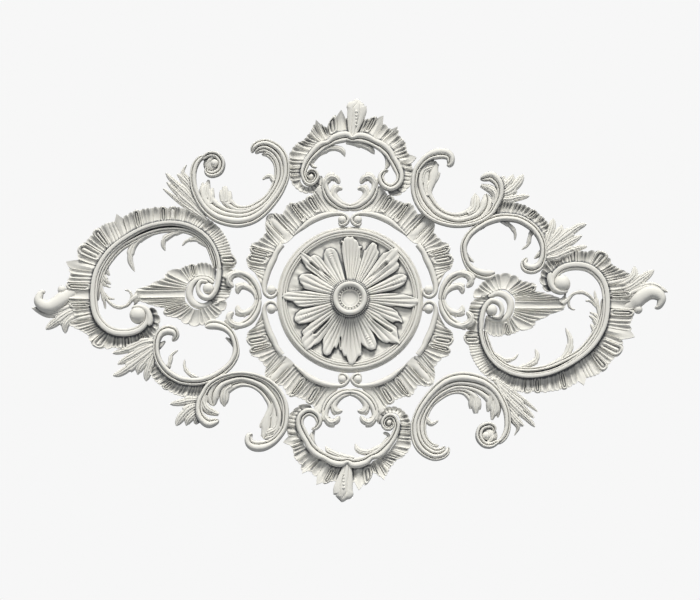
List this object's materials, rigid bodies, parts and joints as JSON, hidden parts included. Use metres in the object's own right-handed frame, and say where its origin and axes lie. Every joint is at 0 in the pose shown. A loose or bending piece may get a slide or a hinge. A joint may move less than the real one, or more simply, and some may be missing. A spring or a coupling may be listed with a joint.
{
  "type": "rectangular ceiling rosette",
  "caption": "Long diamond-shaped plaster ceiling rosette: leaf medallion, shell-edged ring and paired scroll castings with openwork between them.",
  "frame": {"origin": "centre of the medallion's flat back, which is the middle of the whole rosette, in the plane of the ceiling", "axes": "+Y out of the flat backs into the ceiling, so the carved face looks along -Y; +X along the rosette's length; +Z across it; with +Y turned up it hangs under a ceiling"},
  "size_m": [1.4, 0.046, 0.8912],
  "materials": {
    "plaster": "matt cast gypsum plaster, warm off-white, unpainted"
  },
  "bodies": {
    "root": {"medallion": "plaster", "ring": "plaster", "crest_north": "plaster", "crest_south": "plaster", "scroll_northwest": "plaster", "scroll_southeast": "plaster", "scroll_southwest": "plaster", "scroll_northeast": "plaster", "side_west": "plaster", "side_east": "plaster", "hook_southwest": "plaster", "hook_northeast": "plaster"}
  },
  "joints": []
}
